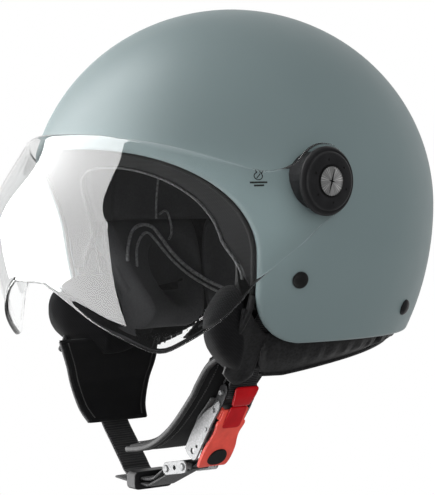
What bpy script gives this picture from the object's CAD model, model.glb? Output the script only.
"""Open face helmet: the looks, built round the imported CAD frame.

Lengths are millimetres until a mesh is made, which turns them into metres. +Z is up, the helmet
faces -Y, and the wearer's left is +X.
"""

import math

import bmesh
import bpy
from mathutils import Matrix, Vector


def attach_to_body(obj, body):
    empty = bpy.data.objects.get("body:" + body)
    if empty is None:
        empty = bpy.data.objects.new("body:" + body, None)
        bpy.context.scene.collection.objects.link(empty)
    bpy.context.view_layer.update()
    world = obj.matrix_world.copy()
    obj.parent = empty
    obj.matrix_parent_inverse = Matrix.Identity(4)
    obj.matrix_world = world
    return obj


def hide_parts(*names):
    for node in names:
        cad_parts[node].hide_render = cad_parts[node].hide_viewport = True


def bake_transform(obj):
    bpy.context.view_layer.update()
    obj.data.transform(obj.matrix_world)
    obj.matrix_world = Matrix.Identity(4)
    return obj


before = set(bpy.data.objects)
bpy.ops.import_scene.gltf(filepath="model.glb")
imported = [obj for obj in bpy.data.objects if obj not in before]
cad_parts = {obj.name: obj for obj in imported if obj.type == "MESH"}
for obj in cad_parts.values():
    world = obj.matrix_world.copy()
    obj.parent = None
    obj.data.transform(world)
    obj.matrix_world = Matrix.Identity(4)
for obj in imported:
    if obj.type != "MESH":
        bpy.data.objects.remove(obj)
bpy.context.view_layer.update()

MM = 0.001

# ---- Shell, as in the CAD ----
HALF_WIDTH = 116.0
HALF_LENGTH = 130.0
CROWN_HEIGHT = 123.0
LOWER_DEPTH = 155.0
PLAN_POWER = 2.15
RIM_Z = -79.0
SHELL_WALL = 4.0
CORNER_Y = -27.0

# ---- Visor, as in the CAD ----
PIVOT_Y = -28.8
PIVOT_Z = 16.0
VISOR_THICK = 2.4
VISOR_GAP = 6.0
BUBBLE = 20.0
BUBBLE_TURN = math.radians(78)
EAR_X = 117.3
EAR_FLAT = 24.0
EAR_BLEND = 16.0
EAR_RADIUS = 22.0

# ---- Strap plane and buckle, as in the CAD ----
STRAP_Y = -42.0
SWING_X = -72.0
SWING_Z = -102.0
BUCKLE_X = 27.0
BUCKLE_Z = -152.0
BUCKLE_TILT = math.radians(56)
LEVER_PIN = (38, 1.4)  # along and out from the buckle
WEBBING_BAR = (52, 1.5)
LUG_PIN = (19, -159)
LUG_BAR = (2.6, -162.2)
WEBBING_HALF_WIDTH = 10.4
WEBBING_HALF_THICK = 0.86
SLIDER_X = -32.5
SLIDER_Z = -174.2
SIDES = ((1, "left"), (-1, "right"))
FACES = ((-1, "front"), (1, "rear"))
CORNER_STEPS = 5

# ---- Camera ----
VIEW_TURN = math.radians(52.0)
VIEW_RISE = math.radians(2.5)
VIEW_DISTANCE = 1150.0
VIEW_SHIFT_RIGHT = -9.8
VIEW_SHIFT_UP = -26.9
VIEW_LENS = 131.9


# ------------------------------------------------------------------ small maths

def ease(t):
    t = min(1.0, max(0.0, t))
    return t * t * (3 - 2 * t)


def mix(a, b, t):
    return a + (b - a) * t


def sign(value):
    return -1.0 if value < 0 else 1.0


def plan_radius(turn, inset):
    across = abs(math.sin(turn)) / (HALF_WIDTH - inset)
    along = abs(math.cos(turn)) / (HALF_LENGTH - inset)
    return (across ** PLAN_POWER + along ** PLAN_POWER) ** (-1 / PLAN_POWER)


def egg_depth(z, inset):
    return (CROWN_HEIGHT if z > 0 else LOWER_DEPTH) - inset


def narrowing(z, inset):
    return math.sqrt(max(0.0, 1 - (z / egg_depth(z, inset)) ** 2))


def head_point(turn, radius, z):
    return Vector((radius * math.sin(turn), -radius * math.cos(turn), z))


def egg_point(turn, z, inset):
    return head_point(turn, plan_radius(turn, inset) * narrowing(z, inset), z)


def egg_value(point, inset=0.0):
    """1 on the egg at an inset, less inside it and more outside."""
    x, y, z = point
    plan = (abs(x) / (HALF_WIDTH - inset)) ** PLAN_POWER + (abs(y) / (HALF_LENGTH - inset)) ** PLAN_POWER
    return plan ** (2 / PLAN_POWER) + (z / egg_depth(z, inset)) ** 2


def onto_egg(direction, inset):
    """The point of the egg at an inset, straight out from the centre."""
    return direction / math.sqrt(egg_value(direction, inset))


def egg_x(y, z, inset):
    """Half width of the egg at (y, z), or 0 outside it."""
    plan = narrowing(z, inset) ** PLAN_POWER - (abs(y) / (HALF_LENGTH - inset)) ** PLAN_POWER
    return (HALF_WIDTH - inset) * max(0.0, plan) ** (1 / PLAN_POWER)


def shell_normal(point):
    step = 0.05
    base = egg_value(point)
    moves = (Vector((step, 0, 0)), Vector((0, step, 0)), Vector((0, 0, step)))
    return Vector([egg_value(point + move) - base for move in moves]).normalized()


def bezier(a, b, c, d, steps):
    out = []
    for t in (i / steps for i in range(steps + 1)):
        s = 1 - t
        weights = (s * s * s, 3 * s * s * t, 3 * s * t * t, t * t * t)
        out.append(tuple(sum(w * p[k] for w, p in zip(weights, (a, b, c, d))) for k in range(2)))
    return out


def smooth_line(points, steps, closed=False):
    """A Catmull-Rom line through points of any size, with a number of steps between each two."""
    points = [Vector(p) for p in points]
    count = len(points)
    out = []
    for i in range(count if closed else count - 1):
        near = [(i + j) % count if closed else max(0, min(count - 1, i + j)) for j in (-1, 0, 1, 2)]
        p0, p1, p2, p3 = (points[n] for n in near)
        for t in (k / steps for k in range(steps)):
            out.append(0.5 * (2 * p1 + (p2 - p0) * t + (2 * p0 - 5 * p1 + 4 * p2 - p3) * t ** 2
                              + (3 * p1 - p0 - 3 * p2 + p3) * t ** 3))
    return out if closed else out + [points[-1]]


def heading(line, i):
    """Unit direction of a line of points at its point i."""
    return (line[min(len(line) - 1, i + 1)] - line[max(0, i - 1)]).normalized()


def circle(count):
    """(cosine, sine) of evenly spaced turns."""
    return [(math.cos(2 * math.pi * k / count), math.sin(2 * math.pi * k / count)) for k in range(count)]


def superellipse(half_a, half_b, count, power):
    """Corners of a box that is rounder, the nearer its power is to 1."""
    return [(half_a * sign(c) * abs(c) ** power, half_b * sign(s) * abs(s) ** power)
            for c, s in circle(count)]


def fold(degrees):
    """The turn's mirror image on the wearer's left."""
    return min(degrees, 360 - degrees)


def resample(points, count):
    """The line again with count points evenly spaced along it."""
    lengths = [0.0]
    for a, b in zip(points, points[1:]):
        lengths.append(lengths[-1] + (b - a).length)
    out = []
    at = 0
    for i in range(count):
        want = lengths[-1] * i / (count - 1)
        while at < len(points) - 2 and lengths[at + 1] < want:
            at += 1
        span = lengths[at + 1] - lengths[at]
        part = (want - lengths[at]) / span if span else 0.0
        out.append(points[at].lerp(points[at + 1], part))
    return out


# ------------------------------------------------------------------ mesh making

def attach(thing, body):
    """Ride one body, or bend between two: (body, body, start, end)."""
    if isinstance(body, str):
        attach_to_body(thing, body)
        return
    first, second, start, end = body
    [MM * c for c in start]
    [MM * c for c in end]
    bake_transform(thing)


def piece(name, points, faces, material, body, replaces=(), slot=None, smooth=True):
    mesh = bpy.data.meshes.new(name)
    mesh.from_pydata([tuple(MM * c for c in p) for p in points], [], faces)
    mesh.validate()
    work = bmesh.new()
    work.from_mesh(mesh)
    bmesh.ops.recalc_face_normals(work, faces=work.faces)
    work.to_mesh(mesh)
    work.free()
    mesh.materials.append(material)
    for polygon in mesh.polygons:
        polygon.use_smooth = smooth
    thing = bpy.data.objects.new(name, mesh)
    bpy.context.scene.collection.objects.link(thing)
    attach(thing, body)
    if replaces:
        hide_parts(*replaces)
    return thing


def ring_faces(rings, count, closed=True, first=0):
    """Quads between rings of count points each, stored one after another."""
    faces = []
    for row in range(first, first + (rings - 1) * count, count):
        for i in range(count if closed else count - 1):
            a = row + i
            b = row + (i + 1) % count
            faces.append((a, b, b + count, a + count))
    return faces


def seam_faces(rings, count):
    """Quads that join the last ring back to the first one."""
    last = (rings - 1) * count
    return [(i, (i + 1) % count, last + (i + 1) % count, last + i) for i in range(count)]


def flat_list(rings):
    return [p for ring in rings for p in ring]


def loft(name, rings, material, body, caps=True, **more):
    """A body through closed rings of points."""
    count = len(rings[0])
    faces = ring_faces(len(rings), count)
    if caps:
        faces += [tuple(range(first, first + count)) for first in (0, (len(rings) - 1) * count)]
    return piece(name, flat_list(rings), faces, material, body, **more)


def tube_rings(line, radius, sides):
    """Rings of a round cord along a line of points, turning with it without twist."""
    rings = []
    up = Vector((0, 0, 1))
    for i, point in enumerate(line):
        along = heading(line, i)
        if abs(along.dot(up)) > 0.98:
            up = Vector((0, 1, 0))
        side = along.cross(up).normalized()
        up = side.cross(along).normalized()
        rings.append([point + side * radius * c + up * radius * s for c, s in circle(sides)])
    return rings


def turned(name, profile, axis_point, axis, material, body, sides, **more):
    """A profile of (radius, distance along axis) turned about an axis."""
    turn = Vector((0, 0, 1)).rotation_difference(axis)
    rings = []
    for radius, along in profile:
        wide = max(radius, 0.01)
        rings.append([axis_point + turn @ Vector((wide * c, wide * s, along)) for c, s in circle(sides)])
    return loft(name, rings, material, body, **more)


# ------------------------------------------------------------------ materials

class Nodes:
    """Short ways to add nodes to a tree."""

    def __init__(self, tree):
        self.tree = tree

    def feed(self, socket, value):
        if isinstance(value, bpy.types.NodeSocket):
            self.tree.links.new(value, socket)
        else:
            socket.default_value = value

    def add(self, kind, output, settings=None, **inputs):
        """One output of a new node, with its inputs linked or set."""
        made = self.tree.nodes.new(kind)
        for key, value in (settings or {}).items():
            setattr(made, key, value)
        for key, value in inputs.items():
            self.feed(made.inputs[key.replace("_", " ")], value)
        return made.outputs[output]

    def math(self, operation, *values, kind="ShaderNodeMath"):
        made = self.tree.nodes.new(kind)
        made.operation = operation
        for socket, value in zip(made.inputs, values):
            self.feed(socket, value)
        return made.outputs["Value"]

    def spread(self, factor, low, high, start=0.0, end=1.0):
        """The factor's run from start to end, stretched from low to high."""
        return self.add("ShaderNodeMapRange", "Result", Value=factor, From_Min=start, From_Max=end,
                        To_Min=low, To_Max=high)


class Look(Nodes):
    """A node material under construction."""

    def __init__(self, name):
        self.material = bpy.data.materials.new(name)
        self.material.use_nodes = True
        super().__init__(self.material.node_tree)
        self.shader = self.tree.nodes["Principled BSDF"]
        self.place = self.add("ShaderNodeTexCoord", "Object")

    def noise(self, scale, detail=2.0, rough=0.5, place=None):
        return self.add("ShaderNodeTexNoise", "Fac", Vector=place or self.place, Scale=scale,
                        Detail=detail, Roughness=rough)

    def cells(self, scale):
        return self.add("ShaderNodeTexVoronoi", "Distance", Vector=self.place, Scale=scale)

    def wave(self, scale, direction, bend):
        return self.add("ShaderNodeTexWave", "Fac", {"bands_direction": direction}, Vector=self.place,
                        Scale=scale, Distortion=bend)

    def ramp(self, factor, low, high, start, end):
        """Colours low to high as the factor goes from start to end."""
        colour = self.add("ShaderNodeValToRGB", "Color", Fac=factor)
        for point, shade, position in zip(colour.node.color_ramp.elements, (low, high), (start, end)):
            point.position = position
            point.color = (*shade, 1)
        return colour

    def bump(self, height, strength, depth_mm):
        normal = self.shader.inputs["Normal"]
        below = {"Normal": normal.links[0].from_socket} if normal.is_linked else {}
        self.feed(normal, self.add("ShaderNodeBump", "Normal", Height=height, Strength=strength,
                                   Distance=depth_mm * MM, **below))

    def finish(self, colour, bumps, **values):
        """The material, once its colour, its (height, strength, depth) bumps and its other inputs are in."""
        self.feed(self.shader.inputs["Base Color"], colour)
        for height, strength, depth_mm in bumps:
            self.bump(height, strength, depth_mm)
        for key, value in values.items():
            self.feed(self.shader.inputs[key.replace("_", " ")], value)
        return self.material


def paint_look():
    look = Look("satin_grey_green_paint")
    return look.finish(
        look.ramp(look.noise(9, 3), (0.166, 0.218, 0.224), (0.180, 0.234, 0.240), 0.3, 0.7),
        [(look.noise(1500, 2), 0.05, 0.05)],
        Roughness=look.spread(look.noise(60, 4), 0.42, 0.52), Specular_IOR_Level=0.3)


def plastic_look(name, colour, rough, grain=0.12):
    look = Look(name)
    lighter = tuple(min(1.0, c * 1.25 + 0.002) for c in colour)
    return look.finish(
        look.ramp(look.noise(140, 4), colour, lighter, 0.35, 0.75), [(look.noise(2600, 3), grain, 0.06)],
        Roughness=look.spread(look.noise(420, 3), rough - 0.06, rough + 0.07), Specular_IOR_Level=0.15)


def steel_look():
    look = Look("brushed_steel")
    place = look.add("ShaderNodeMapping", "Vector", Vector=look.place, Scale=(1.0, 14.0, 1.0))
    streak = look.noise(700, 3, place=place)
    return look.finish(
        look.ramp(streak, (0.15, 0.152, 0.155), (0.27, 0.272, 0.275), 0.3, 0.7), [(streak, 0.12, 0.03)],
        Roughness=look.spread(streak, 0.36, 0.52), Metallic=0.25, Specular_IOR_Level=0.2)


def glass_look():
    """Clear visor: bends light like plastic, and lets lamps through to what is behind it."""
    look = Look("clear_visor")
    look.finish((0.985, 0.992, 0.992, 1), [(look.noise(26, 2), 0.02, 0.4)],
                Transmission_Weight=1.0, IOR=1.585, Roughness=0.0)
    passing = look.add("ShaderNodeBsdfTransparent", "BSDF", Color=(0.95, 0.96, 0.96, 1))
    chosen = look.tree.nodes.new("ShaderNodeMixShader")
    shadow = look.add("ShaderNodeLightPath", "Is Shadow Ray")
    for socket, value in zip(chosen.inputs, (shadow, look.shader.outputs["BSDF"], passing)):
        look.feed(socket, value)
    look.feed(look.tree.nodes["Material Output"].inputs["Surface"], chosen.outputs["Shader"])
    return look.material


def ribbed_look():
    """Fine knitted ribs, dark grey."""
    look = Look("ribbed_mesh_fabric")
    knots = look.spread(look.wave(300, "DIAGONAL", 0.4), 0.55, 1.0)
    knit = look.math("MULTIPLY", look.wave(430, "Z", 0.6), knots)
    return look.finish(
        look.ramp(knit, (0.003, 0.003, 0.003), (0.015, 0.015, 0.017), 0.1, 0.9), [(knit, 0.5, 0.5)],
        Roughness=0.85, Sheen_Weight=0.04, Sheen_Roughness=0.5, Specular_IOR_Level=0.1)


def pad_look(name, low, high):
    """Brushed black cloth."""
    look = Look(name)
    nap = look.noise(900, 4, 0.7)
    patches = look.spread(look.noise(45, 3), 0.7, 1.1)
    tone = look.math("MULTIPLY", look.spread(nap, 0.5, 1.0), patches)
    return look.finish(
        look.ramp(tone, low, high, 0.3, 0.95), [(nap, 0.35, 0.3), (look.noise(120, 2), 0.25, 0.8)],
        Roughness=0.9, Sheen_Weight=0.06, Sheen_Roughness=0.45, Specular_IOR_Level=0.15)


def leather_look(name, low, high):
    look = Look(name)
    grain = look.cells(620)
    return look.finish(
        look.ramp(grain, low, high, 0.1, 0.8), [(grain, 0.25, 0.25), (look.noise(70, 3), 0.3, 1.0)],
        Roughness=look.spread(look.noise(90, 3), 0.42, 0.62), Specular_IOR_Level=0.2, Sheen_Weight=0.04)


def webbing_look(name, direction):
    look = Look(name)
    yarn = look.spread(look.wave(520, "Y", 1.0), 0.6, 1.0)
    weave = look.math("MULTIPLY", look.wave(260, direction, 0.5), yarn)
    return look.finish(
        look.ramp(weave, (0.004, 0.004, 0.005), (0.024, 0.024, 0.026), 0.1, 0.9), [(weave, 0.6, 0.5)],
        Roughness=0.7, Sheen_Weight=0.15, Specular_IOR_Level=0.35)


def foam_look():
    look = Look("black_bead_foam")
    beads = look.cells(330)
    return look.finish(look.ramp(beads, (0.02, 0.02, 0.021), (0.008, 0.008, 0.008), 0.1, 0.7),
                       [(beads, 0.4, 0.4)], Roughness=0.9)


def sunray_look():
    """Silver disc with engraved rays that run out from the pivot."""
    look = Look("silver_sunray")
    across = look.math("SUBTRACT", look.add("ShaderNodeSeparateXYZ", "Y", Vector=look.place), PIVOT_Y * MM)
    upward = look.math("SUBTRACT", look.add("ShaderNodeSeparateXYZ", "Z", Vector=look.place), PIVOT_Z * MM)
    angle = look.math("ARCTAN2", upward, across)
    rays = [look.math("MULTIPLY", look.math("SINE", look.math("MULTIPLY", angle, often)), deep)
            for often, deep in ((31.0, 0.5), (7.0, 0.35))]
    mottle = look.math("ADD", look.math("ADD", *rays), look.spread(look.noise(900, 3), -0.5, 0.5))
    return look.finish(
        look.ramp(look.spread(mottle, 0.5, 1.0), (0.10, 0.10, 0.10), (0.66, 0.66, 0.66), 0.25, 0.85),
        [(mottle, 0.3, 0.1)], Roughness=look.spread(look.noise(300, 3), 0.32, 0.5), Metallic=0.7)


PAINT = paint_look()
RIBBED = ribbed_look()
FABRIC = pad_look("brushed_pad_fabric", (0.014, 0.014, 0.015), (0.085, 0.085, 0.089))
SLEEVE = pad_look("strap_sleeve_cloth", (0.003, 0.003, 0.003), (0.013, 0.013, 0.014))
LEATHER = leather_look("black_leatherette", (0.006, 0.006, 0.006), (0.016, 0.016, 0.017))
PIPING = leather_look("grey_piping", (0.110, 0.110, 0.112), (0.270, 0.270, 0.275))
BAND_PIPING = leather_look("dark_grey_piping", (0.040, 0.040, 0.041), (0.100, 0.100, 0.103))
STITCH = plastic_look("grey_thread", (0.06, 0.06, 0.06), 0.7)
WEBBING_UP = webbing_look("webbing_upright", "Z")
WEBBING_FLAT = webbing_look("webbing_level", "X")
FOAM = foam_look()
SILVER = sunray_look()
RED = plastic_look("salmon_red_plastic", (0.74, 0.085, 0.062), 0.45, 0.1)
DEEP_RED = plastic_look("deep_red_plastic", (0.42, 0.002, 0.006), 0.4, 0.1)
BLACK_INK = plastic_look("black_inlay", (0.006, 0.006, 0.006), 0.5)
BLACK_PLASTIC = plastic_look("satin_black_plastic", (0.014, 0.014, 0.015), 0.42)
RUBBER = plastic_look("black_rubber", (0.010, 0.010, 0.010), 0.6, 0.3)
STEEL = steel_look()
GLASS = glass_look()


# ------------------------------------------------------------------ outlines on the head form

def opening_line(back):
    """Edge of the face opening seen from the side, as (y, z), set back into the shell."""
    line = [(-170.0, 35.0)]
    line += bezier((-126, 34.6), (-100, 31), (-63, 4), (-62, -28), 40)
    line += bezier((-60, -46), (-58.6, -62), (-48, -77), (CORNER_Y, RIM_Z), 30)
    out = []
    last = len(line) - 1
    for i, (y, z) in enumerate(line):
        before = line[max(0, i - 1)]
        after = line[min(last, i + 1)]
        along = Vector((after[0] - before[0], after[1] - before[1])).normalized()
        out.append(Vector((y - along.y * back, z + along.x * back)))
    return out


def opening_edge(back, inset, count):
    """The face opening's left half in space, from the front centre to the lower corner."""
    line = opening_line(back)
    fine = []
    for a, b in zip(line, line[1:]):
        steps = max(2, int((b - a).length / 0.8))
        fine += [a.lerp(b, k / steps) for k in range(steps)]
    fine.append(line[-1])
    inside = [p for p in fine if egg_x(p.x, p.y, inset) > 0]
    first = inside[0]
    z = first.y
    start_y = -(HALF_LENGTH - inset) * narrowing(z, inset)
    run = []
    for k in range(24):
        y = start_y + (first.x - start_y) * (k / 24) ** 2
        run.append(Vector((egg_x(y, z, inset), y, z)))
    run += [Vector((egg_x(p.x, p.y, inset), p.x, p.y)) for p in inside]
    return resample(run, count)


def rim_edge(up, inset, count):
    """The shell's bottom edge on the left, from the opening's corner to the back centre."""
    z = RIM_Z + up
    start = math.atan2(egg_x(CORNER_Y, z, inset), -CORNER_Y)
    return [egg_point(mix(start, math.pi, k / (count - 1)), z, inset) for k in range(count)]


def both_sides(half):
    """A closed loop from its left half, which starts and ends on the centre plane."""
    right = [Vector((-p.x, p.y, p.z)) for p in reversed(half[1:-1])]
    return half + right


FRONT_STEPS = 110
REAR_STEPS = 60


def shell_loop(back, inset):
    front = opening_edge(back, inset, FRONT_STEPS)
    rear = rim_edge(back, inset, REAR_STEPS)
    front[0].x = 0.0
    rear[-1].x = 0.0
    return both_sides(front[:-1] + rear)


def edge_profile(wall, radius):
    """(back, inset) pairs that carry a sheet's outside round its edge to its inside."""
    steps = 4
    quarter = [math.pi / 2 * k / steps for k in range(steps + 1)]
    over = [(radius * (1 - math.sin(a)), radius * (1 - math.cos(a))) for a in quarter]
    return over + [(radius * (1 - math.cos(a)), wall - radius * (1 - math.sin(a))) for a in quarter]


def build_shell():
    pole = Vector((0, 0.35, 0.94)).normalized()
    steps = 56
    radius = SHELL_WALL / 2

    def dome(inset, order):
        edge = [p.normalized() for p in shell_loop(radius, inset)]
        return [[onto_egg(pole.slerp(way, step / steps), inset) for way in edge] for step in order]

    loops = dome(0, range(1, steps + 1))
    loops += [shell_loop(back, inset) for back, inset in edge_profile(SHELL_WALL, radius)[1:-1]]
    loops += dome(SHELL_WALL, range(steps, 0, -1))
    count = len(loops[0])
    points = flat_list(loops) + [onto_egg(pole, 0), onto_egg(pole, SHELL_WALL)]
    top = len(points) - 2
    faces = ring_faces(len(loops), count)
    for first, tip in ((0, top), (top - count, top + 1)):
        faces += [(tip, first + i, first + (i + 1) % count) for i in range(count)]
    piece("shell_painted", points, faces, PAINT, "helmet", ["outer_shell"], "shell_paint")


# ------------------------------------------------------------------ visor

def visor_standoff(turn, z):
    away = abs(turn)
    crease = -37 - 36 * ease(away / math.radians(34))
    crease += 30 * ease((away - math.radians(36)) / math.radians(20))
    lip = max(0.0, crease - z) * 0.5
    swell = math.cos(min(1.0, away / BUBBLE_TURN) * math.pi / 2) ** 0.7
    return VISOR_GAP + BUBBLE * ease((46 - z) / 60) * swell + lip


def visor_point(turn, z, through):
    radius = plan_radius(turn, 0) * narrowing(z, 0) + visor_standoff(turn, z) - 1.2 + through
    point = head_point(turn, radius, z)
    away = math.hypot(point.y - PIVOT_Y, point.z - PIVOT_Z)
    flat = 1 - ease((away - EAR_FLAT) / EAR_BLEND)
    point.x += flat * (sign(point.x) * (EAR_X + through) - point.x)
    return point


VISOR_TOP = smooth_line([
    (-190, 44.5), (-134, 43.8), (-119, 40), (-101, 34), (-80, 26.2), (-67, 22.2), (-58, 23.4),
    (-47.0, 28.3)], 10)
VISOR_LOW = smooth_line([
    (-13.2, 0.4), (-48, -20.5), (-70, -37.5), (-90, -60), (-105, -76.5), (-114, -81.5), (-124, -77),
    (-138, -66.5), (-147, -55), (-152, -46.5), (-156, -43), (-190, -42)], 10)


def height_on(line, y):
    """Height of a line of (y, z) points at y."""
    for a, b in zip(line, line[1:]):
        if (a.x - y) * (b.x - y) <= 0 and a.x != b.x:
            return mix(a.y, b.y, (y - a.x) / (b.x - a.x))
    return line[-1].y if abs(line[-1].x - y) < abs(line[0].x - y) else line[0].y


def visor_edge_z(turn, upper):
    """Height of the visor's upper or lower edge at a turn from straight ahead."""
    rear = PIVOT_Y + EAR_RADIUS - 0.05
    way, line, ear_y = (1, VISOR_TOP, -47.0) if upper else (-1, VISOR_LOW, -13.2)
    z = way * 20.0
    for _ in range(14):
        y = min(rear, visor_point(turn, z, VISOR_THICK).y)
        bow = math.sqrt(max(0.0, EAR_RADIUS ** 2 - (y - PIVOT_Y) ** 2))
        z = mix(z, PIVOT_Z + way * bow if y > ear_y else height_on(line, y), 0.6)
    return z


def visor_ring(turn, high, low, rows=56, rim_steps=5):
    """The visor's section at a turn: down the outside, round the low edge, up the inside, over the top."""
    half = VISOR_THICK / 2
    levels = [mix(high - half, low + half, j / rows) for j in range(rows + 1)]
    bends = [math.pi * k / rim_steps for k in range(1, rim_steps)]
    ring = [visor_point(turn, z, VISOR_THICK) for z in levels]
    ring += [visor_point(turn, low + half - half * math.sin(a), half + half * math.cos(a)) for a in bends]
    ring += [visor_point(turn, z, 0) for z in reversed(levels)]
    ring += [visor_point(turn, high - half + half * math.sin(a), half - half * math.cos(a)) for a in bends]
    return ring


def build_visor():
    end_turn = math.atan2(EAR_X + VISOR_THICK, -(PIVOT_Y + EAR_RADIUS - 0.4))
    columns = 180
    rings = [visor_ring(-end_turn, PIVOT_Z + 0.4, PIVOT_Z - 0.4)]
    for i in range(1, columns):
        turn = end_turn * math.sin((2 * i / columns - 1) * math.pi / 2)
        rings.append(visor_ring(turn, visor_edge_z(turn, True), visor_edge_z(turn, False)))
    rings.append(visor_ring(end_turn, PIVOT_Z + 0.4, PIVOT_Z - 0.4))
    loft("visor_bubble", rings, GLASS, "visor", replaces=["visor_shield"], slot="visor_clear")


# ------------------------------------------------------------------ lining

PAD_OUT = 29.2
PAD_IN = 36.0
BAND_LOW_Z = -12.0
BAND_END_Z = -41.5
SEAL_END_Z = -58.5
PANEL_THICK = 1.6
PIPING_LIFT = 0.4
CROWN_SPLIT_Z = 58.0
MM_PER_DEGREE = 1.45


def end_scale(part, length, soft):
    """How far a section shrinks near the ends of a pad, so that the pad ends roundly."""
    from_end = min(part, 1 - part) * length
    if from_end >= soft:
        return 1.0
    return math.sqrt(max(0.06, 1 - (1 - from_end / soft) ** 2))


def swept_pad(name, start, end, section, material, soft=7.0, columns=72, **more):
    """A pad swept round the head; section(degrees) gives its (radius, z) corners on the wearer's left."""
    rings = []
    for i in range(columns + 1):
        part = i / columns
        part = part - 0.12 * math.sin(2 * math.pi * part)
        degrees = mix(start, end, part)
        flat = smooth_line(section(fold(degrees)), 5, closed=True)
        middle = sum(flat, Vector((0, 0))) / len(flat)
        scale = end_scale(part, abs(end - start) * MM_PER_DEGREE, soft)
        corners = [middle + (corner - middle) * scale for corner in flat]
        rings.append([head_point(math.radians(degrees), radius, z) for radius, z in corners])
    return loft(name, rings, material, "helmet", **more)


def pad_reach(degrees, z):
    turn = math.radians(degrees)
    return plan_radius(turn, PAD_OUT) * narrowing(z, PAD_OUT)


def front_swell(degrees):
    """1 at the front of a cheek pad, where it is thickest, and 0 behind it."""
    return 1 - ease((degrees - 62) / 42)


def cheek_section(degrees):
    front = front_swell(degrees)
    top, middle, low = (pad_reach(degrees, z) for z in (-20, -42, -70))
    return [
        (pad_reach(degrees, -14), -14), (middle, -42), (low, -70), (low - 2, -79), (low - 8, -81),
        (low - 13 - 4 * front, -78), (low - 15 - 8 * front, -66), (middle - 13 - 5 * front, -42),
        (top - 10 - 2 * front, -22), (top - 6, -13),
    ]


def roll_section(degrees):
    top, middle, low = (pad_reach(degrees, z) for z in (-20, -45, -70))
    return [
        (pad_reach(degrees, -14), -14), (middle, -45), (low, -69), (low - 4, -75), (low - 12.5, -73),
        (middle - 13.5, -50), (top - 8, -20), (top - 5, -13),
    ]


def lining_radius(degrees, z):
    """Radius of the lining's inner surface."""
    if z > BAND_LOW_Z:
        return plan_radius(math.radians(degrees), PAD_IN) * narrowing(z, PAD_IN)
    folded = fold(degrees)
    top, low = pad_reach(folded, -20), pad_reach(folded, -70)
    if folded < 112.5:
        front = front_swell(folded)
        inner = [(-13, top - 7), (-22, top - 10 - 2 * front), (-42, pad_reach(folded, -42) - 13 - 5 * front),
                 (-66, low - 15 - 8 * front)]
    else:
        inner = [(-13, top - 6), (-20, top - 8), (-50, pad_reach(folded, -45) - 14), (-74, low - 13)]
    for (high, a), (under, b) in zip(inner, inner[1:]):
        if z >= under:
            return mix(a, b, (high - z) / (high - under))
    return inner[-1][1]


def sink_ear_recess(thing, side):
    """Push the pad's inner face back into a round recess over the ear."""
    for vertex in thing.data.vertices:
        x, y, z = vertex.co / MM
        away = math.hypot(y - 4, z + 42)
        depth = 1 - ease((away - 17) / 7)
        if depth > 0 and abs(x) < 79:
            vertex.co.x = side * mix(abs(x), max(abs(x), 79), depth) * MM


def lining_line(points):
    """A smooth line on the lining through (degrees, z) points."""
    return [head_point(math.radians(degrees), lining_radius(degrees, z) - PIPING_LIFT, z)
            for degrees, z in smooth_line(points, 10)]


def cord(name, line, radius, material, body="helmet", sides=8):
    return loft(name, tube_rings(line, radius, sides), material, body)


def seam_groove(degrees, seams, deep, wide):
    """How far the lining sinks by the nearest seam."""
    return deep * math.exp(-(min(abs(degrees - seam) for seam in seams) / wide) ** 2)


def build_headband():
    """Brow and side lining, with seams sunk between its panels."""
    columns = 216
    rows = 18
    edge = opening_line(7.0)
    loops = [[] for _ in range(2 * rows + 2)]
    for i in range(columns):
        degrees = 360 * i / columns
        turn = math.radians(degrees)
        low = BAND_LOW_Z
        for _ in range(12):
            y = egg_point(turn, low, PAD_IN).y
            low = mix(low, max(BAND_LOW_Z, height_on(edge, y)) if y < -55 else BAND_LOW_Z, 0.7)
        groove = seam_groove(fold(degrees), (0, 62, 118, 180), 1.6, 1.3)
        for j in range(rows + 1):
            part = j / rows
            z = mix(low + 0.6, CROWN_SPLIT_Z - 0.4, part)
            puff = 1.0 * (1 - abs(2 * part - 1) ** 4) - groove
            loops[j].append(egg_point(turn, z, PAD_OUT))
            loops[2 * rows + 1 - j].append(egg_point(turn, z, PAD_IN - 0.8 + puff))
    faces = ring_faces(len(loops), columns) + seam_faces(len(loops), columns)
    made = piece("headband_lining", flat_list(loops), faces, FABRIC, "helmet", ["headband"], "pad_fabric")


def build_crown_pad():
    """Cap of lining over the headband, with six sunk seams."""
    columns = 96
    rows = 18
    loops = []
    for order, inset, deep in ((range(rows), PAD_OUT, 0), (range(rows - 1, -1, -1), PAD_IN - 0.8, 1.5)):
        depth = CROWN_HEIGHT - inset
        start = math.asin((CROWN_SPLIT_Z + 0.6) / depth)
        for j in order:
            z = depth * math.sin(mix(start, math.pi / 2 - 0.04, j / (rows - 1)))
            loop = []
            for i in range(columns):
                degrees = 360 * i / columns
                groove = seam_groove(degrees, range(0, 361, 60), deep, 2.2)
                loop.append(egg_point(math.radians(degrees), min(z, depth - 0.05), inset - groove))
            loops.append(loop)
    inner = rows * columns
    faces = ring_faces(rows, columns) + ring_faces(rows, columns, first=inner) + seam_faces(2 * rows, columns)
    faces += [tuple(range(inner - columns, inner)), tuple(range(inner, inner + columns))]
    made = piece("crown_lining", flat_list(loops), faces, FABRIC, "helmet", ["crown_pad"], "pad_fabric")


def opening_part(back, inset, count, low_z):
    """The opening's edge from the front centre down to a height on the left."""
    run = [p for p in opening_edge(back, inset, 400) if p.z > low_z or p.y < -80]
    return resample(run, count)


def mirrored_rings(rings):
    """Rings on the left, starting on the centre plane, with their mirror images ahead of them."""
    for point in rings[0]:
        point.x = 0.0
    return [[Vector((-p.x, p.y, p.z)) for p in ring] for ring in reversed(rings[1:])] + rings


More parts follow.
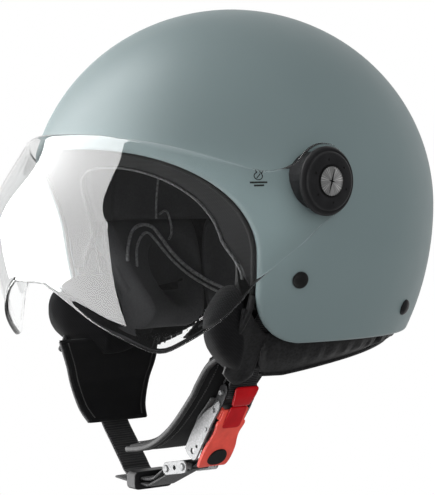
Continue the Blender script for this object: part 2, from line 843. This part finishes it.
def build_face_band():
    """Ribbed band all round the face opening, with a grey piping at its inner edge."""
    section = [(4.9, 5.2), (4.9, 2.4), (6.5, 1.3), (12, 1.0), (20, 1.0), (27, 1.2), (31.5, 1.9), (33.4, 3.2),
               (33.2, 5.2), (28, 5.5), (18, 5.5), (10, 5.5)]
    count = 100
    smooth = smooth_line(section, 3, closed=True)
    lines = [opening_part(back, inset, count, BAND_END_Z) for inset, back in smooth]
    rings = []
    for i, ring in enumerate(zip(*lines)):
        taper = 0.6 * ease((i - count + 22) / 22)
        rings.append([point.lerp(ring[0], taper) for point in ring])
    made = loft("face_band_ribbed", mirrored_rings(rings), RIBBED, "helmet", replaces=["face_band"],
                slot="ribbed_fabric")
    rim = opening_part(2.4, 6.0, 120, BAND_END_Z + 0.5)
    inner = opening_part(0.9, 31.0, 120, BAND_END_Z + 0.5)
    half = [[p.lerp(rim[i], 0.6 * ease((i - 94) / 26))] for i, p in enumerate(inner)]
    cord("face_band_piping", flat_list(mirrored_rings(half)), 0.9, BAND_PIPING)


def build_rim_seal():
    section = smooth_line([(4.4, 0.6), (4.5, -0.7), (5.3, -1.1), (6.2, -0.6), (6.3, 0.5)], 3, closed=True)
    lines = [opening_part(back, inset, 120, SEAL_END_Z) for inset, back in section]
    loft("rim_seal_bead", mirrored_rings([list(ring) for ring in zip(*lines)]), RUBBER, "helmet",
         replaces=["rim_seal"], slot="black_rubber")


LOBE = [  # (y, inner x, outer x, low z, high z)
    (-12, 68, 73, -84, -76), (-22, 65, 73, -90, -72), (-34, 62, 73, -95, -68), (-46, 60.5, 73, -97, -58),
    (-54, 59, 76, -97, -46), (-58, 59.5, 84, -95.5, -45), (-62, 61.5, 88, -94, -44.6),
    (-67, 64.5, 89, -91.5, -46), (-73, 68.5, 90, -87.5, -49.5), (-79, 72.5, 89.5, -82, -54.5),
    (-84.5, 78, 87, -74, -61),
]


CHEEK_PIPING = [  # (name, radius, (degrees, z) points)
    ("ear_piping_upper", 1.15, [
        (56, -36), (62, -27), (70, -18), (78, -14.5), (84, -16), (88, -22), (92, -30), (98, -38), (106, -46),
        (118, -54), (132, -61), (146, -66)]),
    ("ear_piping_lower", 0.9, [
        (62, -40), (68, -29), (75, -21.5), (80, -19.5), (84, -24), (88, -31), (94, -39), (104, -49),
        (118, -58), (132, -65)]),
    ("side_seam", 0.8, [(88, -11), (88.5, 4), (89, 20), (90, 40), (91, 56)]),
    ("side_tab", 0.8, [(90, -8), (94, -6), (96, -12), (95.5, -20), (93, -24)]),
]


def build_lobe(side, tag):
    """Rounded front lobe of a cheek pad, below the shell's corner."""
    stations = smooth_line(LOBE, 6)
    rings = []
    for i, (y, inner, outer, low, high) in enumerate(stations):
        scale = end_scale(i / (len(stations) - 1), 78, 6)
        corners = superellipse((outer - inner) / 2 * scale, (high - low) / 2 * scale, 28, 0.72)
        x, z = (inner + outer) / 2, (low + high) / 2
        rings.append([Vector((side * (x + a), y, z + b)) for a, b in corners])
    lobe = loft("cheek_lobe_" + tag, rings, RIBBED, "helmet")


def build_cheek(side, tag):
    def round_to(degrees):
        return degrees if side > 0 else 360 - degrees

    pad = swept_pad("cheek_pad_%s_lining" % tag, round_to(54), round_to(112), cheek_section, FABRIC,
                    replaces=["cheek_pad_" + tag], slot="pad_fabric", columns=90)
    sink_ear_recess(pad, side)
    build_lobe(side, tag)
    for name, radius, points in CHEEK_PIPING:
        line = lining_line([(round_to(degrees), z) for degrees, z in points])
        cord("%s_%s" % (name, tag), line, radius, PIPING)


def build_cheek_panel(side, tag, drop):
    """Leatherette that joins the skirt, the lobe and the strap pad below the shell's corner."""
    columns = 24
    rows = 14
    inward = Vector((-PANEL_THICK * side, 0, 0))
    rings = []
    for i in range(columns + 1):
        part = i / columns
        high = mix(-73, -57, ease(part))
        low = mix(-98.5, -96, part) - drop * math.sin(math.pi * part)
        line = []
        for z in (mix(high, low, k / rows) for k in range(rows + 1)):
            fall = (-70 - z) / 30
            x = mix(89.2, 73.6, ease(fall) * 0.35 + 0.65 * fall) + 0.35 * math.sin(part * 9)
            line.append(Vector((side * min(x, 96.5), mix(-44, -66.5, part), z)))
        rings.append(line + [point + inward for point in reversed(line)])
    made = loft("cheek_panel_" + tag, rings, LEATHER, "helmet")


def build_neck_roll():
    roll = swept_pad("neck_roll_lining", 113, 247, roll_section, FABRIC, replaces=["neck_roll"],
                     slot="pad_fabric", columns=110)


# ------------------------------------------------------------------ skirts below the rim

def skirt_edges(degrees):
    """Radius of a skirt at the rim, then radius and height of its lower edge."""
    top = plan_radius(math.radians(degrees), 0) * narrowing(RIM_Z, 0) - SHELL_WALL - 1.2
    low = max(-99.0, min(-84.0, -99 + 0.225 * (degrees - 72)))
    return top, top - 0.42 * (-71.5 - low), low


def skirt_section(degrees):
    top, bottom, low = skirt_edges(degrees)
    ripple = 0.5 * math.sin(degrees * 0.9) + 0.35 * math.sin(degrees * 2.3)
    between = (top + bottom) / 2 + ripple
    middle = (RIM_Z + low) / 2
    return [
        (top + 0.4, -72.4), (top - 0.3, RIM_Z), (between + 0.4, middle), (bottom, low + 2.4),
        (bottom - 2, low + 0.4), (bottom - 4.3, low + 2.4), (between - 4.6, middle),
        (top - 4.6, RIM_Z), (top - 4.4, -72.4),
    ]


def build_skirts():
    """Three skirts of leatherette, and the bound edge that runs along all of them."""
    for name, start, end, soft, columns in (("cheek_skirt_left", 61, 118, 4, 72),
                                            ("cheek_skirt_right", 299, 242, 4, 72),
                                            ("neck_skirt", 118.4, 241.6, 3, 110)):
        made = swept_pad(name + "_leatherette", start, end, skirt_section, LEATHER, soft, columns,
                         replaces=[name], slot="leatherette")
    line = []
    steps = 240
    for degrees in (mix(62, 298, i / steps) for i in range(steps + 1)):
        _, bottom, low = skirt_edges(fold(degrees))
        line.append(head_point(math.radians(degrees), bottom - 1.6, low + 0.9))
    cord("skirt_bound_edge", line, 1.3, LEATHER)


# ------------------------------------------------------------------ straps


def strap_frames(line):
    """Points of an (x, z) line, each with the direction out of the strap's face."""
    ways = [heading(line, i) for i in range(len(line))]
    return [(at, Vector((-way.y, way.x))) for at, way in zip(line, ways)]


def strap_section(at, out, middle_y, corners):
    """A section's (across, lift) corners, set on a strap's line."""
    spots = [at + out * lift for _, lift in corners]
    return [Vector((spot.x, middle_y + across, spot.y)) for spot, (across, _) in zip(spots, corners)]


def strap_pad(name, path, thick, start_y, end_y, body, nodes):
    """A quilted sleeve; start_y and end_y are its front and rear edges at either end."""
    frames = strap_frames(resample(smooth_line(path, 12), 64))
    rings = []
    edges = {"front": [], "rear": []}
    for i, (at, out) in enumerate(frames):
        part = i / (len(frames) - 1)
        low, high = (mix(a, b, part) for a, b in zip(start_y, end_y))
        half = (high - low) / 2
        soft = 1 + 0.05 * math.sin(part * 17) + 0.04 * math.sin(part * 31 + 1)
        flat = superellipse(half - 0.3, thick / 2 * end_scale(part, 60, 3) * soft, 36, 0.5)
        corners = [(a, b * (1 - 0.35 * (abs(a) / half) ** 3)) for a, b in flat]
        rings.append(strap_section(at, out, (low + high) / 2, corners))
        edges["front"].append(Vector((at.x, low + 1.5, at.y)))
        edges["rear"].append(Vector((at.x, high - 1.5, at.y)))
    made = loft(name, rings, SLEEVE, body, replaces=nodes, slot="pad_fabric")
    for tag, line in edges.items():
        cord("%s_%s_binding" % (name, tag), line[1:-1], 1.6, LEATHER, body)
    stitches(name + "_stitching", frames, thick, start_y, end_y, body)


def stitches(name, frames, thick, start_y, end_y, body):
    """Rows of short stitches along both edges, on both faces."""
    points = []
    for i in range(2, len(frames) - 3):
        at, out = frames[i]
        tip = at.lerp(frames[i + 1][0], 0.62)
        low, high = (mix(a, b, i / (len(frames) - 1)) for a, b in zip(start_y, end_y))
        for y in (low + 5.2, high - 5.2):
            for face in (1, -1):
                section = [(across, face * (thick / 2 * 0.97 + lift))
                           for across, lift in ((-0.35, -0.4), (0.35, -0.4), (0.2, 0.25), (-0.2, 0.25))]
                points += strap_section(at, out, y, section) + strap_section(tip, out, y, section)
    faces = []
    for a in range(0, len(points), 8):
        faces += ring_faces(2, 4, first=a) + [(a, a + 3, a + 2, a + 1), (a + 4, a + 5, a + 6, a + 7)]
    piece(name, points, faces, STITCH, body)


def webbing(name, path, wrap, body, material, nodes, count=150):
    """A woven strap along a smooth (x, z) path, and then round its bar."""
    line = smooth_line(path, 8)[:-1] + [Vector(p) for p in wrap]
    rings = []
    for i, (at, out) in enumerate(strap_frames(resample(line, count))):
        rib = 0.08 * math.sin(i * 2.2)
        section = superellipse(WEBBING_HALF_WIDTH, WEBBING_HALF_THICK + rib, 20, 0.35)
        rings.append(strap_section(at, out, STRAP_Y, section))
    loft(name, rings, material, body, replaces=nodes, slot="webbing")


def arc(centre, radius, first, last, steps=10):
    """Points round a centre, from one angle in degrees to another."""
    turns = [math.radians(mix(first, last, k / steps)) for k in range(steps + 1)]
    return [(centre[0] + radius * math.cos(turn), centre[1] + radius * math.sin(turn)) for turn in turns]


WEB_DROP = [(94.2, -49), (92, -57), (85.5, -66), (79.5, -73), (76, -82)]


def build_front_rolls():
    """Thick bound roll down the front of each cheek, on to the strap pad."""
    left = [(93, -59.5, -50), (92.5, -63, -61), (85, -66, -74), (74, -67, -85), (61.5, -67.2, -93),
            (51, -67, -105), (43.5, -66.4, -114), (20, -65, -135.5), (-3, -64, -148), (-27, -63, -153)]
    right = [(-93, -59.5, -50), (-92.5, -63, -61), (-86, -68, -74), (-77, -76, -86), (-70, -84, -92)]
    for tag, points, radius in (("left", left, 2.0), ("right", right, 2.2)):
        cord("front_roll_" + tag, smooth_line(points, 10), radius, LEATHER, sides=12)


def build_straps():
    wrap = arc(on_buckle(*WEBBING_BAR), 3.2, -20, -214)
    webbing("webbing_left_woven", WEB_DROP + [(71, -90), (65, -98.5), wrap[0]], wrap + [on_buckle(60, -1.9)],
            "helmet", WEBBING_UP, ["webbing_left"])
    bending = ("helmet", "strap_right", (SWING_X, STRAP_Y, SWING_Z + 5), (SWING_X, STRAP_Y, SWING_Z - 6))
    path = [(-x, z) for x, z in WEB_DROP]
    path += [(-73, -92), (-72, -101), (-73, -104.5), (-76.5, -115), (-76.4, -130), (-71.6, -141.5),
             (-60, -154.5), (-50, -165.4), (-46.2, -169.8), (-42, -172.2), (-41, -172.3), (-20, -172.3),
             (-9, -167.2)]
    wrap = arc(LUG_BAR, 3.1, 120, -80) + [(-20, -176.1), (-41, -176.1), (-56, -175.2)]
    webbing("webbing_right_woven", path + [wrap[0]], wrap, bending, WEBBING_FLAT,
            ["webbing_right", "webbing_anchor_right"], 320)
    path = [(64, -87), (55, -99), (42, -113.5), (20, -133.5), (-3, -146.5), (-28, -152)]
    strap_pad("strap_pad_left_quilted", path, 6, (-67, -18), (-62, -26), "helmet", ["strap_pad_left"])
    path = [(-67, -86), (-67.6, -94), (-68.6, -104), (-71.5, -116), (-71, -131), (-65.8, -140.5)]
    strap_pad("strap_pad_right_quilted", path, 5.2, (-88, -8), (-66, -20), bending,
              ["strap_pad_right", "strap_pad_root_right"])


# ------------------------------------------------------------------ buckle

def on_buckle(s, n):
    across = math.cos(BUCKLE_TILT)
    rise = math.sin(BUCKLE_TILT)
    return (BUCKLE_X + s * across + n * rise, BUCKLE_Z + s * rise - n * across)


def in_buckle(s, n, y):
    x, z = on_buckle(s, n)
    return Vector((x, STRAP_Y + y, z))


def on_wall(face, away):
    """Places (s, n, depth) on the front (-1) or rear (1) side of the buckle."""
    return lambda s, n, depth: in_buckle(s, n, face * away + depth)


def flat_plate(name, outline, holes, thick, to_space, material, body, edge=0.25, **more):
    """A plate with rounded edges from a 2-D outline; to_space places (a, b, depth)."""
    curve = bpy.data.curves.new(name, "CURVE")
    curve.dimensions = "2D"
    curve.fill_mode = "BOTH"
    curve.extrude = thick / 2 - edge
    curve.bevel_depth = edge
    curve.bevel_resolution = 2
    for loop in [outline] + list(holes):
        spline = curve.splines.new("POLY")
        spline.points.add(len(loop) - 1)
        for point, (a, b) in zip(spline.points, loop):
            point.co = (a, b, 0, 1)
        spline.use_cyclic_u = True
    holder = bpy.data.objects.new(name + "_outline", curve)
    bpy.context.scene.collection.objects.link(holder)
    flat = bpy.data.meshes.new_from_object(holder.evaluated_get(bpy.context.evaluated_depsgraph_get()))
    bpy.data.objects.remove(holder)
    points = [to_space(v.co.x, v.co.y, v.co.z) for v in flat.vertices]
    faces = [tuple(p.vertices) for p in flat.polygons]
    made = piece(name, points, faces, material, body, smooth=False, **more)
    work = bmesh.new()
    work.from_mesh(made.data)
    bmesh.ops.remove_doubles(work, verts=work.verts, dist=0.00001)
    work.to_mesh(made.data)
    work.free()
    return made


def disc(a, b, radius, count=24):
    return [(a + radius * c, b + radius * s) for c, s in circle(count)]


def rounded_outline(corners):
    """An outline with its corners softened into short curves; each corner is (a, b, radius)."""
    out = []
    for i, (a, b, radius) in enumerate(corners):
        here = Vector((a, b))
        ways = [Vector(corners[(i + j) % len(corners)][:2]) - here for j in (-1, 1)]
        start, end = (here + way.normalized() * min(radius, way.length * 0.48) for way in ways)
        for t in (k / CORNER_STEPS for k in range(CORNER_STEPS + 1)):
            out.append(tuple(start * (1 - t) ** 2 + here * 2 * t * (1 - t) + end * t * t))
    return out


def rounded_box(half_a, half_b, radius):
    signs = ((-1, -1), (1, -1), (1, 1), (-1, 1))
    return rounded_outline([(a * half_a, b * half_b, radius) for a, b in signs])


def moulded_rings(stations, low, power, dish=0.0):
    """Sections across the buckle through (s, half width, top) stations, with a shallow hollow on top."""
    rings = []
    for s, half, top in smooth_line(stations, 4):
        ring = []
        for a, b in superellipse(half, (top - low) / 2, 32, power):
            sunk = dish * (1 - (a / half) ** 2) if b > 0 else 0
            ring.append(in_buckle(s, (top + low) / 2 + b - sunk, a))
        rings.append(ring)
    return rings


def build_channel():
    """Steel side walls that taper upward, each with a blackened hanger for the webbing's bar."""
    wall = rounded_outline([(-0.4, -6.8, 4), (14, -7.9, 6), (28, -6.2, 8), (37, -2.0, 8), (46.5, 2.6, 1.0),
                            (44, 5.0, 2), (30, 4.3, 4), (-0.2, 4.5, 4)])
    holes = [disc(*LEVER_PIN, 1.75), disc(24, 2.2, 1.35), disc(4.4, -0.6, 2.0), disc(9.4, 1.0, 1.2)]
    hanger = rounded_outline([(34, -0.8, 1), (47, -1.6, 3), (56, -1.8, 3), (58, 1.5, 3), (56, 4.6, 3),
                              (47, 5.6, 3), (34, 4.0, 1)])
    for face, tag in FACES:
        more = {"replaces": ["buckle_channel"], "slot": "steel"} if face < 0 else {}
        flat_plate("buckle_wall_" + tag, wall, holes, 1.5, on_wall(face, 11.75), STEEL, "helmet", **more)
        flat_plate("buckle_hanger_" + tag, hanger, [disc(*LEVER_PIN, 1.75), disc(*WEBBING_BAR, 1.75)], 1.0,
                   on_wall(face, 11.2), BLACK_PLASTIC, "helmet")
    corners = ((-12.4, 0.05), (12.4, 0.05), (12.4, 1.0), (-12.4, 1.0))
    floor = [[in_buckle(s, n + lift, y) for y, lift in corners]
             for s, n in ((0.6, -7.4), (13, -7.7), (26, -8), (35, -6.2), (43, -4.9))]
    loft("buckle_floor", floor, STEEL, "helmet", smooth=False)


def build_lever():
    stations = [
        (-3.0, 9.2, 6.9), (-2.2, 10.3, 7.9), (0, 11.0, 8.5), (4, 11.5, 8.8), (9, 11.6, 8.8), (14, 11.3, 8.6),
        (19, 10.2, 8.3), (24, 9.6, 8.2), (28, 10.0, 8.4), (31, 10.5, 8.5), (33, 10.3, 8.3), (34, 9.4, 8.0),
        (38, 9.2, 7.6), (41, 9.2, 7.3), (42, 8.8, 6.9),
    ]
    loft("lever_plate", moulded_rings(stations, 5.5, 0.3, 0.35), RED, "lever", replaces=["buckle_lever"],
         slot="red_plastic")
    ear = rounded_outline([(34.5, 6.0, 0.5), (35, 0.3, 2), (37.4, -1.4, 1.5), (39.4, -1.2, 1.5),
                           (41.2, 0.4, 2), (41.6, 6.0, 0.5)])
    for face, tag in FACES:
        flat_plate("lever_ear_" + tag, ear, [disc(*LEVER_PIN, 1.8)], 2.6, on_wall(face, 8.9), RED, "lever")
    neck = rounded_outline([(29.5, -6.4, 2.5), (44.8, -5.6, 1), (44.8, 5.6, 1), (29.5, 6.4, 2.5)])
    flat_plate("lever_neck", neck, [], 1.6, lambda s, y, d: in_buckle(s, 7.9 + d, y), DEEP_RED, "lever", 0.5)
    grip = [(5.2 + (6.4 if s > 0 else 4.6) * s, 6.4 * sign(c) * abs(c) ** 0.8) for c, s in circle(40)]
    flat_plate("lever_thumb_grip", grip, [], 1.6, lambda s, y, d: in_buckle(s, 8.5 + d, y), RUBBER, "lever",
               0.5, replaces=["lever_grip"], slot="black_rubber")


def build_cover():
    stations = [(46.2, 5.6, 8.6), (47, 6.3, 9.2), (49, 6.9, 9.5), (54, 7.9, 9.6), (58, 8.6, 9.0),
                (59.5, 8.4, 8.7), (60.2, 7.6, 8.2)]
    loft("buckle_cover_moulded", moulded_rings(stations, 7.0, 0.35), DEEP_RED, "helmet",
         replaces=["buckle_cover"], slot="deep_red_plastic")


def build_lug():
    outline = arc(LUG_PIN, 3.7, -80, 100, 12) + arc(LUG_BAR, 3.7, 100, 280, 12)
    head = [(0, 0), (2.2, 0), (2.2, 0.5), (1.7, 0.9), (0, 1.0)]
    for face, tag in FACES:
        flat_plate("lug_%s_steel" % tag, outline, [disc(10.8, -160.6, 1.7)], 1.4,
                   lambda x, z, d, face=face: Vector((x, STRAP_Y + face * 12 + d, z)), STEEL, "strap_right",
                   replaces=["lug_plate_" + tag], slot="steel")
        for x, z in (LUG_PIN, LUG_BAR):
            turned("pin_head_%s_%d" % (tag, int(x)), head, Vector((x, STRAP_Y + face * 12.7, z)),
                   Vector((0, face, 0)), STEEL, "strap_right", 24)


def build_tongue():
    """Black toothed tongue, bent along its arc into the buckle."""
    mouth_x, mouth_z = on_buckle(0, 1.5)
    reach = math.hypot(mouth_x - SWING_X, mouth_z - SWING_Z)
    start = math.degrees(math.atan2(mouth_z - SWING_Z, mouth_x - SWING_X))
    step = math.degrees(4 / reach)
    path = [(19.4, -159), (22.6, -158.6)]
    path += arc((SWING_X, SWING_Z), reach, start - step, start + 5 * step, 6)
    rings = []
    for i, (at, out) in enumerate(strap_frames(resample(smooth_line(path, 8), 90))):
        tooth = 0.45 * ((i % 6) / 6) if 24 < i < 84 else 0.0
        narrow = 1 - 0.35 * ease((i - 78) / 11)
        corners = [(a, b - tooth if b > 0 else b) for a, b in superellipse(6.4 * narrow, 0.88, 20, 0.35)]
        rings.append(strap_section(at, out, STRAP_Y, corners))
    loft("tongue_toothed", rings, BLACK_PLASTIC, "strap_right", replaces=["ratchet_tongue"],
         slot="black_plastic", smooth=False)
    eye = [Vector((19, STRAP_Y + y, -159)) for y in (-6.4, -5.9, 0, 5.9, 6.4)]
    cord("tongue_eye", eye, 2.7, BLACK_PLASTIC, "strap_right", 24)


def build_slider():
    """Three-bar slider: a flat loop frame with a bar between the two layers of webbing."""
    def to_space(y, z, depth):
        return Vector((SLIDER_X + depth, STRAP_Y + y, SLIDER_Z + z))

    flat_plate("slider_frame", rounded_box(14, 5, 3), [rounded_box(11.4, 3.4, 1.2)], 9.4, to_space,
               BLACK_PLASTIC, "slider", 0.8, replaces=["strap_slider"], slot="black_plastic")
    flat_plate("slider_bar", rounded_box(12, 0.5, 0.3), [], 4.0, to_space, BLACK_PLASTIC, "slider", 0.2)


# ------------------------------------------------------------------ pivots and rivets

# (radius, distance from the centre plane)
CAP_PROFILE = [
    (16.3, 121.0), (19.4, 120.9), (19.9, 121.3), (20.0, 122.4), (19.7, 123.0), (19.2, 123.6), (18.7, 124.1),
    (17.9, 124.2), (17.5, 124.0), (17.1, 124.4), (16.8, 125.2), (16.2, 125.9), (15.2, 126.2),
    (12.0, 126.4), (9.8, 126.4), (9.3, 126.2), (9.2, 125.3), (0, 125.25), (0, 123.1), (16.0, 123.1),
    (16.0, 121.1),
]
DISC_PROFILE = [(0, 125.6), (8.6, 125.6), (8.75, 126.3), (8.4, 126.75), (0, 126.85)]
DISC_RING_PROFILE = [(8.5, 126.2), (9.15, 126.2), (9.15, 126.6), (8.7, 126.85), (8.4, 126.85)]
DIMPLE_PROFILE = [(0, 126.2), (0.75, 126.2), (0.75, 126.5), (0.5, 126.55), (0, 126.55)]
DIMPLE_RING = 12.4
STAR_FACE = 126.75


def build_star(centre, out, tag, body):
    """Two thin crossed arms, one long and one short, on the cap's disc."""
    for name, arm, lean in (("long", 7.2, math.radians(74)), ("short", 2.6, math.radians(-16))):
        axis = Vector((0, math.cos(lean) * out.x, math.sin(lean)))
        cross = out.cross(axis) * 0.55
        corners = [centre + out * STAR_FACE + corner for corner in (axis * -arm, cross, axis * arm, -cross)]
        rings = [[corner + out * lift for corner in corners] for lift in (0.0, 0.3)]
        loft("disc_star_%s_%s" % (name, tag), rings, BLACK_INK, body, smooth=False)


def build_pivot(side, tag):
    centre = Vector((0, PIVOT_Y, PIVOT_Z))
    out = Vector((side, 0, 0))
    body = "cap_" + tag
    turned("pivot_cap_%s_moulded" % tag, CAP_PROFILE, centre, out, BLACK_PLASTIC, body, 96,
           replaces=["pivot_cap_" + tag], slot="black_plastic", caps=False)
    turned("cap_disc_%s_sunray" % tag, DISC_PROFILE, centre, out, SILVER, body, 64,
           replaces=["cap_disc_" + tag], slot="silver_disc")
    for k in range(6):
        turn = math.radians(-98 + 60 * k)
        spot = centre + Vector((0, math.cos(turn) * side, -math.sin(turn))) * DIMPLE_RING
        turned("cap_dimple_%s_%d" % (tag, k), DIMPLE_PROFILE, spot, out, BLACK_INK, body, 16)
    turned("disc_ring_" + tag, DISC_RING_PROFILE, centre, out, BLACK_INK, body, 64, caps=False)
    build_star(centre, out, tag, body)


def build_rivet(name, point, tail, material, node):
    """A domed rivet on the shell; tail is how far it reaches inward."""
    at = Vector(point)
    profile = [(0, -tail), (3.6, -tail), (3.6, -tail + 1.4), (2.3, -tail + 1.4), (2.3, 0.4), (4.8, 0.4),
               (5, 0.7), (4.9, 1.3), (4.4, 2.0), (3.4, 2.6), (2, 3.0), (0, 3.2)]
    turned(name, profile, at, shell_normal(at), material, "helmet", 40, replaces=[node], slot="black_rubber")


def build_rivets():
    for side, tag in SIDES:
        build_rivet("strap_rivet_%s_dome" % tag, (side * 108.1, -36.7, -40.8), 11.6, RUBBER,
                    "strap_rivet_" + tag)
        build_rivet("rear_rivet_%s_dome" % tag, (side * 94.2, 58.7, -61.7), 8.2, BLACK_PLASTIC,
                    "rear_rivet_" + tag)


def on_shell(y, z, lift):
    point = Vector((egg_x(y, z, 0), y, z))
    return point + shell_normal(point) * lift


MARK_Y = -63.4
MARK_Z = 18.5
MARK_THICK = 0.12


def build_inspection_mark():
    """A small plain mark on the shell ahead of the pivot: a ring over two bars, no lettering."""
    def mark(name, outline, holes=()):
        flat_plate("shell_mark_" + name, outline, holes, MARK_THICK,
                   lambda a, b, depth: on_shell(MARK_Y + a, MARK_Z + b, MARK_THICK + depth),
                   BLACK_INK, "helmet", 0.02)

    mark("ring", disc(0, 0, 2.3, 32), [disc(0, 0, 1.85, 32)])
    mark("slash", [(-1.2, -1.2), (-0.8, -1.4), (1.2, 1.2), (0.8, 1.4)])
    for index, (half, low) in enumerate(((4.6, -4.1), (2.6, -5.8))):
        mark("bar_%d" % index, [(-half, low), (half, low), (half, low + 1.0), (-half, low + 1.0)])


PAIRED_PARTS = {"pivot_base": BLACK_PLASTIC, "detent_ring": BLACK_PLASTIC, "pivot_screw": STEEL,
                "pivot_washer": STEEL, "strap_anchor": STEEL, "webbing_bar": STEEL}
SINGLE_PARTS = {"foam_liner": FOAM, "lever_pin": STEEL, "lever_spring": STEEL, "catch_pin": STEEL,
                "buckle_catch": STEEL, "tongue_pin": STEEL}


def dress_hidden_parts():
    """The frame's own small hard parts stay, with softened edges and a material."""
    hidden = {name + tag: material for name, material in PAIRED_PARTS.items() for tag in ("_left", "_right")}
    for name, material in {**hidden, **SINGLE_PARTS}.items():
        node = bpy.data.objects[name]
        node.data.materials.clear()
        node.data.materials.append(material)
        bevel = node.modifiers.new("soft_edges", "BEVEL")
        bevel.width = 0.2 * MM
        bevel.segments = 2
        bevel.limit_method = "ANGLE"
        bevel.angle_limit = math.radians(35)
        bevel.harden_normals = False


# ------------------------------------------------------------------ stage, light and camera

def white_glow(name, strength):
    made = bpy.data.materials.new(name)
    made.use_nodes = True
    nodes = made.node_tree.nodes
    nodes.clear()
    glow = nodes.new("ShaderNodeEmission")
    glow.inputs["Strength"].default_value = strength
    output = nodes.new("ShaderNodeOutputMaterial")
    made.node_tree.links.new(glow.outputs["Emission"], output.inputs["Surface"])
    return made


def stage_sheet(name, points, faces, glow, strength, unseen_by):
    """A glowing sheet of the studio, hidden from some kinds of rays."""
    mesh = bpy.data.meshes.new(name)
    mesh.from_pydata([tuple(MM * c for c in p) for p in points], [], faces)
    mesh.materials.append(white_glow(glow, strength))
    thing = bpy.data.objects.new(name, mesh)
    for ray in unseen_by:
        setattr(thing, "visible_" + ray, False)
    bpy.context.scene.collection.objects.link(thing)
    return thing


def soft_lamp(name, place, aim, size, power):
    """A lamp that lights the part but is not mirrored in the visor or seen through it."""
    data = bpy.data.lights.new(name, "AREA")
    data.shape = "RECTANGLE"
    data.size, data.size_y = (MM * length for length in size)
    data.energy = power
    thing = bpy.data.objects.new(name, data)
    thing.location = Vector(place) * MM
    thing.rotation_euler = (Vector(aim) - Vector(place)).to_track_quat("-Z", "Y").to_euler()
    thing.visible_glossy = False
    thing.visible_transmission = False
    bpy.context.scene.collection.objects.link(thing)


def build_world():
    """White backdrop that lights gently, and shows in reflections only from behind and at the poles."""
    world = bpy.data.worlds.new("studio")
    bpy.context.scene.world = world
    world.use_nodes = True
    sky = Nodes(world.node_tree)
    place = sky.add("ShaderNodeTexCoord", "Generated")
    ahead = sky.math("DOT_PRODUCT", place, SKY_AHEAD, kind="ShaderNodeVectorMath")
    upright = sky.math("ABSOLUTE", sky.add("ShaderNodeSeparateXYZ", "Z", Vector=place))
    mirrored = sky.math("MAXIMUM", sky.spread(ahead, 1.0, 0.07, -0.8, -0.4),
                        sky.spread(upright, 0.0, 1.0, 0.84, 0.94))
    level = sky.add("ShaderNodeMix", "Result", A=1.0, B=mirrored,
                    Factor=sky.add("ShaderNodeLightPath", "Glossy Depth"))
    gentle = sky.spread(sky.add("ShaderNodeLightPath", "Is Diffuse Ray"), 1.0, 0.45)
    back = world.node_tree.nodes["Background"]
    sky.feed(back.inputs["Color"], (1, 1, 1, 1))
    sky.feed(back.inputs["Strength"], sky.math("MULTIPLY", gentle, level))


SKY_AHEAD = (0.574, -0.819, 0)
FLOOR_Z = -320
SOFTBOX_AWAY = 1700
SOFTBOX_STRENGTH = 9.0
# (elevation, azimuth) of the card's edge toward the wearer's left
SOFTBOX_EDGE = [(-45, 4), (-30, 5), (-15, 6), (10, 6), (30, -4), (50, -19), (66, -25)]


def build_softbox():
    """A tall curved card ahead and to the wearer's right, seen only in reflections."""
    columns = 12
    points = []
    for rise, last in SOFTBOX_EDGE:
        level = math.radians(rise)
        points += [head_point(math.radians(mix(-78, last, k / columns)), math.cos(level), math.sin(level))
                   * SOFTBOX_AWAY for k in range(columns + 1)]
    stage_sheet("softbox_reflection", points, ring_faces(len(SOFTBOX_EDGE), columns + 1, closed=False),
                "softbox_glow", SOFTBOX_STRENGTH, ("camera", "diffuse", "transmission", "shadow"))


def build_stage():
    half = 6000
    corners = [(x, y, 0) for x, y in ((-half, -half), (half, -half), (half, half), (-half, half))]
    floor = stage_sheet("floor", corners, [(0, 1, 2, 3)], "pale_floor", 1.0,
                        ("diffuse", "glossy", "transmission", "shadow"))
    floor.location.z = FLOOR_Z * MM
    floor.rotation_euler.z = math.pi
    soft_lamp("key", (-620, -1050, 760), (0, 0, 20), (900, 700), 9.0)
    soft_lamp("fill", (1500, -300, 300), (0, 0, -20), (800, 900), 7.5)
    soft_lamp("rim", (600, 1400, 700), (0, 0, 0), (900, 900), 1.2)
    build_softbox()


def build_camera():
    towards = head_point(VIEW_TURN, math.cos(VIEW_RISE), math.sin(VIEW_RISE))
    right = Vector((math.cos(VIEW_TURN), math.sin(VIEW_TURN), 0))
    up = towards.cross(right)
    target = right * VIEW_SHIFT_RIGHT + up * VIEW_SHIFT_UP
    data = bpy.data.cameras.new("camera")
    data.lens = VIEW_LENS
    data.clip_start = 0.05
    data.clip_end = 50
    camera = bpy.data.objects.new("camera", data)
    camera.location = (target + towards * VIEW_DISTANCE) * MM
    camera.rotation_euler = (-towards).to_track_quat("-Z", "Y").to_euler()
    scene = bpy.context.scene
    scene.collection.objects.link(camera)
    scene.camera = camera
    scene.view_settings.view_transform = "Standard"


build_camera()
build_world()
build_stage()
build_shell()
build_visor()
build_face_band()
build_rim_seal()
build_headband()
build_crown_pad()
for side, tag in SIDES:
    build_cheek(side, tag)
build_cheek_panel(1, "left", 6)
build_cheek_panel(-1, "right", 0)
build_neck_roll()
build_skirts()
build_straps()
build_front_rolls()
build_channel()
build_lever()
build_cover()
build_lug()
build_tongue()
build_slider()
for side, tag in SIDES:
    build_pivot(side, tag)
build_rivets()
build_inspection_mark()
dress_hidden_parts()
